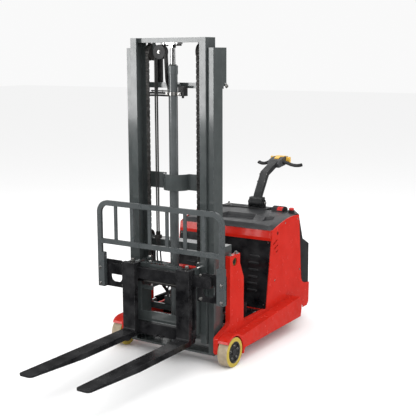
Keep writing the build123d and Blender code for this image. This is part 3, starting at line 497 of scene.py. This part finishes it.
# ---- mast hoses ---------------------------------------------------------------------
HOSE_X, HOSE_TURN, HOSE_FOOT, HOSE_YS = -85.0, 40.0, 522.0, (-20.0, 2.0)
front_x, rear_x = HOSE_X - HOSE_TURN, HOSE_X + HOSE_TURN
hoses = Mesh()
for y in HOSE_YS:
    hoses.tube([(front_x, y, SHEAVE_Z), (front_x, y, 1500), (front_x, y, 830)], 5.5, steps=3)
for k, foot_x in enumerate((-146, -126, -106)):
    y = (-20, -9, 2)[k]
    hoses.tube(
        [(front_x - 2 + 2 * k, y, 800), (front_x + 4 * k, y, 760), (foot_x - 6, y - 5, 700),
         (foot_x - 2, y - 2, 620), (foot_x, y, 522)], 5.5, steps=6,
    )
hose_piece = hoses.done("mast_hose_runs", "carriage", hose_black, bevel=0, smooth=60)
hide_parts("mast_hoses")
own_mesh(hose_piece)
clamp = Mesh()
clamp.block((front_x - 16, front_x + 16), (-32, 14), (802, 826))
for y in HOSE_YS:
    clamp.rod((front_x, y, 826), (front_x, y, 850), 9.5, sides=6)
    clamp.rod((front_x, y, 784), (front_x, y, 802), 8.5, sides=6)
clamp_piece = clamp.done("hose_junction", "carriage", dark_steel)
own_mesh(clamp_piece)

wraps = Mesh()
rear_hoses = Mesh()
for y in HOSE_YS:
    arc = []
    for k in range(13):
        t = math.pi * k / 12
        arc.append((HOSE_X - HOSE_TURN * math.cos(t), y, SHEAVE_Z + HOSE_TURN * math.sin(t)))
    wraps.tube(arc, 7, steps=2)
    rear_hoses.tube(
        [(rear_x, y, SHEAVE_Z), (rear_x + 1, y + 2, 1985), (rear_x - 4, y + 14, 1920),
         (rear_x - 14, y + 34, 1862), (rear_x - 22, 60 + y * 0.3, 1800)], 7, steps=8,
    )
wraps.done("mast_hose_wraps", "inner_mast", hose_black, bevel=0, smooth=60)
rear_piece = rear_hoses.done("mast_hose_rears", None, hose_black, bevel=0, smooth=60)
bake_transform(rear_piece)
supply = Mesh()
for k, y in enumerate(HOSE_YS):
    x, drop = rear_x - 22, 306 + 16 * k
    supply.tube(
        [(x, 60 + y * 0.3, 1800), (x - 3, 70, 1784 - 16 * k), (x - 24, 88, 1776 - 16 * k),
         (-200, 91, 1776 - 16 * k), (-drop + 20, 91, 1770 - 16 * k), (-drop, 90, 1730),
         (-drop, 90, 1200), (-drop, 90, 900)], 6.5, steps=6,
    )
    supply.tube(
        [(-drop, 90, 900), (-drop, 92, 830), (-drop + 4, 180, 800), (-drop + 10, 186, 700),
         (-drop + 40, 150, 560), (-200 + 12 * k, 118, 460), (-140 + 12 * k, 116, 392)], 6.5, steps=6,
    )
supply.done("mast_supply_hoses", "outer_mast", hose_black, bevel=0, smooth=60)
rail = Mesh()
rail.block((-236, -48), (84, 88), (1786, 1794))
for x in (-220, -140, -64):
    rail.bolt((x, 84, 1790), (0, -1, 0), 5, 4)
rail.done("hose_rail", "outer_mast", dark_steel, bevel=0.5)
fittings = Mesh()
for y in HOSE_YS:
    fittings.rod((rear_x - 22, 60 + y * 0.3, 1786), (rear_x - 22, 60 + y * 0.3, 1830), 9.5, sides=6)
    fittings.rod((rear_x - 22, 60 + y * 0.3, 1800), (rear_x - 22, 60 + y * 0.3, 1815), 12, sides=24)
fittings.done("hose_fittings", "outer_mast", steel, bevel=0.4)
pulley_trim = Mesh()
pulley_face = (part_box("hose_pulley")[0].y - AXLE) / MM
pulley_trim.bolt((HOSE_X, pulley_face - 0.8, SHEAVE_Z), (0, -1, 0), 9, 8)
pulley_trim.done("pulley_bolt", "inner_mast", steel)
for side, tag in reversed(SIDES):
    trim = Mesh()
    for way in (-1, 1):
        trim.ring((side * SHEAVE_X + way * 15, SHEAVE_Y, SHEAVE_Z), (way, 0, 0), 11, 24, 0.9)
    trim.done(f"sheave_rings_{tag}", "chain_sheaves", dark_steel, bevel=0.3)

# ---- mast trim ----------------------------------------------------------------------
CYL_Y = 5.0
band = Mesh()
band.ring((0, CYL_Y, 1766), (0, 0, 1), 30.2, 34, 22, sides=48)
band.block((-58, -32), (CYL_Y - 4, CYL_Y + 4), (1768, 1786))
band.block((32, 60), (CYL_Y - 4, CYL_Y + 4), (1768, 1786))
band.bolt((-46, CYL_Y - 4, 1777), (0, -1, 0), 7, 6)
band.bolt((48, CYL_Y - 4, 1777), (0, -1, 0), 7, 6)
band.done("cylinder_band", "outer_mast", steel, bevel=0.5)
sensor = Mesh()
sensor.block((34, 82), (CYL_Y + 5, CYL_Y + 50), (1762, 1826))
sensor.block((40, 76), (CYL_Y - 2, CYL_Y + 8), (1790, 1820))
sensor.rod((58, CYL_Y - 2, 1806), (58, CYL_Y - 7, 1806), 9)
sensor.rod((58, CYL_Y + 28, 1762), (58, CYL_Y + 28, 1748), 8)
sensor.done("height_sensor", "outer_mast", dark_plastic, bevel=2.5)
# dark plastic block behind the left chain run, on the outer mast: painted shade that stands for the
# shadow inside the outer rail behind the chain, not a real guard
shade_block = Mesh()
shade_block.block((-176, -156), (100, 118), (1812, 2000))
shade_block.block((-216, -156), (112, 118), (1812, 2000))
shade_block.block((-186, -160), (83, 102), (1818, 1842))
shade_block.done("painted_shade_block", "outer_mast", dark_plastic, bevel=1.2)
gland = Mesh()
gland.ring((0, CYL_Y, 1959), (0, 0, 1), 17.8, 24, 7, sides=40)
gland.done("gland_nut", "outer_mast", dark_steel, bevel=0.5)
head_bolts = Mesh()
for x in (-40, 40):
    head_bolts.bolt((x, -26, 2100.5), (0, -1, 0), 5, 6)
for x in (-60, -38, 38, 60):
    head_bolts.rod((x, 4, 2084), (x, 4, 2095), 9, sides=6)
head_bolts.done("crosshead_bolts", "inner_mast", dark_steel, bevel=0.4)
plate_bolts = Mesh()
plate_bolts.bolt((345, 105, 1829), (1, 0, 0), 11, 9)
plate_bolts.done("mast_plate_bolt", "outer_mast", steel)

# ---- carriage, backrest and forks ---------------------------------------------------
rest_bolts = Mesh()
for side in (-1, 1):
    for z in (481, 593):
        rest_bolts.bolt((side * 487, -192, z), (0, -1, 0), 9, 7)
    rest_bolts.bolt((side * 312, -160, 480), (0, -1, 0), 10, 8)
    rest_bolts.bolt((side * 312, -160, 634), (0, -1, 0), 8, 7)
rest_bolts.done("rest_bolts", "side_shifter", steel)
notches = Mesh()
for k in range(12):
    x = -132 + 24 * k
    notches.block((x - 7, x + 7), (-191.6, -189), (620, 634.4))
for k in range(9):
    x = 284 + 14 * k
    notches.block((x - 3.5, x + 3.5), (-191.6, -189), (622, 634.4))
    notches.block((-x - 3.5, -x + 3.5), (-191.6, -189), (622, 634.4))
notches.done("bar_notches", "side_shifter", black, bevel=0.8)
clasp = Mesh()
for side in (-1, 1):
    clasp.block((side * 24 - 16, side * 24 + 16), (-206, -190), (178, 196))
    clasp.bolt((side * 24, -206, 187), (0, -1, 0), 7, 6)
clasp.done("lower_clasps", "side_shifter", black, bevel=1.5)
shelf = Mesh()
outline = []
for k in range(13):
    t = k / 12
    outline.append((-208 + 320 * t, 640 + 26 * math.sin(math.pi * (0.12 + 0.80 * t))))
inner = [(x, z - 5) for x, z in reversed(outline)]
shelf.prism(outline + inner, "Y", -132, -72)
shelf.done("hose_shelf", "carriage", mast_grey, bevel=0.8)
ram_trim = Mesh()
for x in (-140, 122):
    ram_trim.rod((x, -149, 536), (x + 10, -149, 536), 15.5, sides=32)
ram_trim.rod((-60, -149, 549), (-60, -149, 566), 6)
ram_trim.rod((60, -149, 549), (60, -149, 566), 6)
ram_trim.done("ram_collars", "carriage", dark_steel, bevel=0.5)
ram_hoses = Mesh()
ram_hoses.tube([(-60, -149, 566), (-62, -146, 590), (-80, -128, 622), (-112, -70, 600), (-126, -24, 560),
                (-126, -12, 520)], 5, steps=8)
ram_hoses.tube([(60, -149, 566), (50, -146, 594), (0, -128, 622), (-70, -70, 606), (-106, -10, 560),
                (-106, -2, 520)], 5, steps=8)
ram_hoses.done("ram_hoses", "carriage", hose_black, bevel=0, smooth=60)
rollers = Mesh()
for side in (-1, 1):
    for z in (265, 595):
        for r, x in ((34, 276), (16, 277)):
            rollers.ring((side * (x - 1), -3, z), (side, 0, 0), r - 8, r, 1.6, sides=40)
rollers.done("roller_rings", "carriage", steel, bevel=0.3)
for side, tag in SIDES:
    pads = Mesh()
    x = side * 217
    pads.block((x - 40, x + 40), (-191.8, -188), (560, 612))
    pads.rod((x, -176, 664), (x, -176, 668), 17)
    pads.done(f"fork_pads_{tag}", f"fork_{tag[0]}", dark_steel, bevel=0.8)

# ---- chassis trim -------------------------------------------------------------------
bushes = Mesh()
for side in (-1, 1):
    bushes.ring((side * 386.5, 134, 674), (side, 0, 0), 17, 25.5, 4, sides=40)
bushes.done("pivot_bushes", "chassis", brass, bevel=0.5)
HUB_FACE, HUB_BOLTS, BOLT_CIRCLE, WHEEL_R = 468.0, 5, 46.0, 100.0
for side, tag in SIDES:
    bolts = Mesh()
    face = side * HUB_FACE
    for k in range(HUB_BOLTS):
        t = math.radians(360 / HUB_BOLTS * k + 90)
        at = (face, BOLT_CIRCLE * math.cos(t), WHEEL_R + BOLT_CIRCLE * math.sin(t))
        bolts.bolt(at, (side, 0, 0), 7.5, 6)
    bolts.done(f"hub_bolts_{tag}", f"load_wheel_{tag[0]}", steel, bevel=0.5)
    cap = Mesh()
    cap.rod((face - side * 10, 0, WHEEL_R), (face - side * 2, 0, WHEEL_R), 15, sides=32)
    cap.rod((face - side * 2, 0, WHEEL_R), (face + side * 1, 0, WHEEL_R), 15, 12, sides=32)
    cap.done(f"axle_cap_{tag}", "chassis", hub_black, bevel=0.8)
edge_weld = Mesh()
for side in (-1, 1):
    edge_weld.tube([(side * 394.5, 250, 240), (side * 394.5, 420, 240), (side * 394.5, 598, 240)], 3.0,
                   sides=8, steps=3)
edge_weld.done("leg_welds", "chassis", red, bevel=0)
upright_trim = Mesh()
for side in (-1, 1):
    x = side * 376.5
    for y in (98, 178):
        upright_trim.rod((x, y, 720), (x, y, 722.5), 17)
        upright_trim.rod((x, y, 731), (x, y, 737), 6.4, 5.4)
upright_trim.done("upright_washers", "chassis", steel, bevel=0.4)
valve = Mesh()
valve.block((-150, -70), (90, 140), (300, 372))
valve.block((-134, -86), (84, 92), (318, 352))
for x in (-136, -110, -84):
    valve.rod((x, 115, 372), (x, 115, 392), 9, sides=6)
valve.done("valve_block", "outer_mast", tube_grey, bevel=1.5)
low_hoses = Mesh()
low_hoses.tube([(-136, 115, 392), (-136, 120, 430), (-100, 150, 452), (-40, 170, 420), (-20, 150, 360),
                (-30, 150, 300), (-20, 180, 262), (30, 230, 236), (60, 300, 232)], 6, steps=8)
low_hoses.tube([(-110, 115, 392), (-108, 122, 420), (-80, 150, 440), (-10, 172, 380), (10, 160, 320),
                (30, 190, 262), (60, 260, 236), (80, 300, 232)], 6, steps=8)
hose_ends = low_hoses.done("low_hoses", None, hose_black, bevel=0, smooth=60)
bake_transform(hose_ends)
low_hoses = Mesh()
low_hoses.tube([(-84, 115, 392), (-80, 122, 410), (-40, 148, 404), (0, 80, 330), (12, 46, 250),
                (14, 36, 150)], 6, steps=8)
low_hoses.done("cylinder_hose", "outer_mast", hose_black, bevel=0, smooth=60)
port = Mesh()
port.block((-70, -20), (100, 150), (400, 460))
port.rod((-45, 125, 460), (-45, 125, 500), 14)
port.done("valve_cap", "outer_mast", signal_red, bevel=2)
deck_trim = Mesh()
for x in (-347, 347):
    deck_trim.bolt((x, 496, 225), (0, 0, 1), 9, 7)
deck_trim.done("deck_bolts", "chassis", steel)

# louvres pressed out of the front panel, which leans back from its foot to its head
PANEL_FOOT, PANEL_HEAD = (576, 235), (646, 719)
LOUVRES, LOUVRE_FOOT, LOUVRE_PITCH = 6, 355, 49
lean = (PANEL_HEAD[0] - PANEL_FOOT[0]) / (PANEL_HEAD[1] - PANEL_FOOT[1])
louvres = Mesh()
for row in range(LOUVRES):
    z = LOUVRE_FOOT + LOUVRE_PITCH * row
    y = PANEL_FOOT[0] + lean * (z - PANEL_FOOT[1])
    for side in (-1, 1):
        x = side * 265
        outline = [(y + 2, z + 10), (y - 5, z + 4), (y - 9, z - 3), (y - 9, z - 6), (y + 2, z - 7)]
        louvres.prism(outline, "X", x - 38, x + 38)
louvres.done("front_louvres", "chassis", panel_black, bevel=2.5)

# screws and lock rings on the side panels
screws = Mesh()
for side in (-1, 1):
    for y, z in ((860, 815), (1060, 815), (1100, 420), (700, 420)):
        screws.rod((side * 394, y, z), (side * 396.2, y, z), 6.5, 5)
screws.done("panel_screws", "chassis", steel, bevel=0.3)
for side, tag in reversed(SIDES):
    lock = Mesh()
    lock.ring((side * 394, 740, 762), (side, 0, 0), 7, 11, 1.2)
    lock.done(f"panel_key_ring_{tag}", "chassis", black, bevel=0.3)


# ---- moulded top cover --------------------------------------------------------------
def lerp(a, b, t):
    return a + (b - a) * max(0.0, min(1.0, t))


def ease(t):
    t = max(0.0, min(1.0, t))
    return t * t * (3 - 2 * t)


def along(table, v):
    for (a, fa), (b, fb) in zip(table, table[1:]):
        if v <= b:
            return lerp(fa, fb, (v - a) / (b - a))
    return table[-1][1]


CENTRE = ((650, 794), (654, 801), (668, 815), (684, 828), (740, 834), (900, 848), (1090, 852))
CROWN = ((657, 786), (705, 805), (781, 824), (859, 840), (939, 849), (1020, 849), (1090, 843))


def inside(point, corners, soft):
    """How far a point is inside a convex outline, as 0 to 1 over the soft width."""
    depth = 1e9
    for i in range(len(corners)):
        a, b = Vector(corners[i]), Vector(corners[(i + 1) % len(corners)])
        edge = (b - a).normalized()
        depth = min(depth, (point - a).dot(Vector((-edge.y, edge.x))))
    return ease(depth / soft)


TRAY = ((-182, 742), (182, 742), (121, 914), (-121, 914))
POCKET = ((256, 752), (305, 827), (279, 914), (220, 880))


def cover_height(x, y):
    ax = abs(x)
    t = (y - 660) / (1053 - 660)
    c1 = lerp(232, 138, t)
    c2 = lerp(352, 262, (y - 720) / (1079 - 720))
    mid = along(CENTRE, y)
    edge = along(CROWN, y) - 5
    shoulder = lerp(mid - 7, mid - 1, (y - 700) / 360)
    shoulder = max(shoulder, edge)
    if ax < c1:
        z = mid
    elif ax < c2:
        z = lerp(mid, shoulder - 3, (ax - c1) / (c2 - c1))
    else:
        z = lerp(shoulder - 3, edge, (ax - c2) / max(1.0, 387 - c2))
    z = min(z, mid)
    front = ease((y - 650) / 34)
    z = lerp(794, z, front) if y < 684 else z
    point = Vector((x, y))
    z -= 30 * inside(point, TRAY, 13)
    mirrored = Vector((ax, y))
    z -= 17 * inside(mirrored, POCKET, 8)
    return z


bm = bmesh.new()
XS = [-388 + 4 * k for k in range(195)]
YS = [648 + 4 * k for k in range(111)]
grid = []
for y in YS:
    grid.append([bm.verts.new(P(x, y, cover_height(x, y))) for x in XS])
for j in range(len(YS) - 1):
    for i in range(len(XS) - 1):
        bm.faces.new((grid[j][i], grid[j][i + 1], grid[j + 1][i + 1], grid[j + 1][i]))
rim = [grid[0][i] for i in range(len(XS))]
rim += [grid[j][-1] for j in range(1, len(YS))]
rim += [grid[-1][i] for i in range(len(XS) - 2, -1, -1)]
rim += [grid[j][0] for j in range(len(YS) - 2, 0, -1)]
skirt = []
for vert in rim:
    low = vert.co.copy()
    low.z = 0.7935 if low.y < P(0, 700, 0).y else 0.781
    low.z = min(low.z, vert.co.z - 0.0005)
    skirt.append(bm.verts.new(low))
for k in range(len(rim)):
    m = (k + 1) % len(rim)
    bm.faces.new((rim[k], skirt[k], skirt[m], rim[m]))
bm.faces.new(skirt)
bmesh.ops.recalc_face_normals(bm, faces=bm.faces)
mesh = bpy.data.meshes.new("moulded_top")
bm.to_mesh(mesh)
bm.free()
mesh.materials.append(cover_grey)
mesh.polygons.foreach_set("use_smooth", [True] * len(mesh.polygons))
mesh.set_sharp_from_angle(angle=math.radians(30))
cover = bpy.data.objects.new("moulded_top", mesh)
bpy.context.scene.collection.objects.link(cover)
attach(cover, "chassis")
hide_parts("top_cover")

# ---- console and rear cover trim ----------------------------------------------------
display = Mesh()
display.block((-210, -110), (1112, 1168), (859, 863))
display.done("display_bezel", "chassis", dark_plastic, bevel=2)
screen = Mesh()
screen.block((-202, -118), (1120, 1160), (862, 864.2))
screen.done("display_window", "chassis", glass_dark, bevel=0.8)
keys = Mesh()
keys.rod((-255, 1140, 858), (-255, 1140, 864), 14, sides=32)
keys.rod((-255, 1140, 864), (-255, 1140, 868), 10, 8, sides=32)
keys.block((-257, -253), (1128, 1152), (866, 882))
keys.done("key_switch", "chassis", steel, bevel=0.6)
patch = Mesh()
patch.prism([(1096, 856), (1104, 874), (1124, 881), (1128, 878), (1108, 869), (1100, 854)], "X", 196, 240)
patch.done("lid_patch", "chassis", signal_red, bevel=0.8)
stop_ring = Mesh()
stop_ring.ring((300, 1140, 856), (0, 0, 1), 20, 26, 2.5, sides=40)
stop_ring.done("stop_ring", "chassis", dark_plastic, bevel=0.5)
vents = Mesh()
for k in range(6):
    z = 380 + 26 * k
    vents.prism([(1268, z), (1276, z + 3), (1277, z + 9), (1268, z + 16)], "X", -150, 150)
vents.done("rear_vents", "chassis", dark_plastic, bevel=1.5)
hatch = Mesh()
hatch.block((-250, -170), (1264, 1275), (420, 520))
hatch.block((170, 250), (1264, 1275), (420, 520))
hatch.done("socket_lids", "chassis", dark_plastic, bevel=4)
rear_screws = Mesh()
for x in (-350, 350):
    for z in (330, 580):
        rear_screws.rod((x, 1268, z), (x, 1273, z), 8, 6)
rear_screws.done("rear_screws", "chassis", steel, bevel=0.4)

# ---- tiller trim --------------------------------------------------------------------
strip = Mesh()
strip.prism([(1494, 1216), (1546, 1218), (1548, 1221.5), (1494, 1220)], "X", -40, 40)
strip.done("head_strip", "tiller", yellow, bevel=1.2)
boot = Mesh()
boot.ring((-56, 1140, 896), (-1, 0, 0), 9, 20, 5)
boot.ring((56, 1140, 896), (1, 0, 0), 9, 20, 5)
boot.done("hinge_washers", "steering", steel, bevel=0.5)
hinge = Mesh()
hinge.bolt((70, 1140, 896), (1, 0, 0), 10, 7)
hinge.bolt((-70, 1140, 896), (-1, 0, 0), 10, 7)
hinge.done("hinge_bolts", "steering", steel, bevel=0.6)
arm_trim = Mesh()
for y, z in ((1200, 1050), (1235, 1104)):
    for side in (-1, 1):
        arm_trim.rod((side * 30, y, z), (side * 32, y, z), 6, 5)
arm_trim.done("arm_screws", "tiller", steel, bevel=0.3)

# ---- floor, light and camera --------------------------------------------------------
floor_mat = bpy.data.materials.new("studio_floor")
floor_mat.use_nodes = True
floor_shader = floor_mat.node_tree.nodes["Principled BSDF"]
floor_shader.inputs["Base Color"].default_value = (0.97, 0.97, 0.97, 1.0)
floor_shader.inputs["Roughness"].default_value = 1.0
floor_shader.inputs["Specular IOR Level"].default_value = 0.0
bpy.ops.mesh.primitive_plane_add(size=80.0, location=(0, 0, 0))
floor = bpy.context.active_object
floor.name = "studio_floor"
floor.data.materials.append(floor_mat)
floor.visible_glossy = False

world = bpy.data.worlds.new("studio_world")
world.use_nodes = True
# the backdrop lights the floor evenly and is seen as white; its reflection in gloss is darker
SEEN, UNSEEN, IN_GLOSS = 0.95, 0.93, 0.18
world_nodes, world_link = world.node_tree.nodes, world.node_tree.links.new
sky = world_nodes["Background"]
sky.inputs["Color"].default_value = (1.0, 1.0, 1.0, 1.0)
path = world_nodes.new("ShaderNodeLightPath")
both = world_nodes.new("ShaderNodeMath")
both.operation = "MULTIPLY"
levels = (("Is Camera Ray", UNSEEN, SEEN), ("Is Glossy Ray", 1.0, IN_GLOSS))
for socket, (ray, low, high) in zip(both.inputs, levels):
    level = world_nodes.new("ShaderNodeMapRange")
    level.inputs["To Min"].default_value = low
    level.inputs["To Max"].default_value = high
    world_link(path.outputs[ray], level.inputs["Value"])
    world_link(level.outputs["Result"], socket)
world_link(both.outputs[0], sky.inputs["Strength"])
bpy.context.scene.world = world
bpy.context.scene.view_settings.view_transform = "Standard"


def area(name, place, target, size, power):
    light = bpy.data.lights.new(name, "AREA")
    light.shape = "RECTANGLE"
    light.size, light.size_y = size
    light.energy = power
    obj = bpy.data.objects.new(name, light)
    bpy.context.scene.collection.objects.link(obj)
    obj.location = place
    aim = Vector(target) - Vector(place)
    obj.rotation_euler = aim.to_track_quat("-Z", "Y").to_euler()


# name, place, target and size in metres, power in watts
LIGHTS = (
    ("ceiling_light", (0.5, -0.5, 5.5), (0, 0, 0), (7.0, 7.0), 170),
    ("key_light", (4.2, -3.4, 3.6), (0, 0, 0.8), (2.2, 3.0), 70),
    ("mast_light", (-3.6, -5.4, 2.1), (0, -0.2, 1.7), (1.8, 1.9), 80),
    ("strip_light", (5.2, 3.4, 1.6), (0, 0.4, 0.7), (1.0, 3.0), 22),
    ("back_light", (-2.0, 5.0, 3.4), (0, 0, 1.0), (4.0, 3.0), 40),
)
for light_facts in LIGHTS:
    area(*light_facts)

YAW, PITCH, ROLL = math.radians(32.33), math.radians(-9.94), math.radians(-0.19)
LENS, CAMERA_PLACE = 75.68, P(3267.0, -4736.0, 2027.1)
level_way = Vector((-math.sin(YAW), math.cos(YAW), 0.0))
forward = level_way * math.cos(PITCH) + Vector((0.0, 0.0, math.sin(PITCH)))
right = forward.cross(Vector((0, 0, 1))).normalized()
up = right.cross(forward)
right_rolled = right * math.cos(ROLL) + up * math.sin(ROLL)
up_rolled = up * math.cos(ROLL) - right * math.sin(ROLL)
camera_data = bpy.data.cameras.new("photo_camera")
camera_data.sensor_width = 36.0
camera_data.lens = LENS
camera = bpy.data.objects.new("photo_camera", camera_data)
bpy.context.scene.collection.objects.link(camera)
matrix = Matrix((right_rolled, up_rolled, -forward)).transposed().to_4x4()
matrix.translation = CAMERA_PLACE
camera.matrix_world = matrix
bpy.context.scene.camera = camera
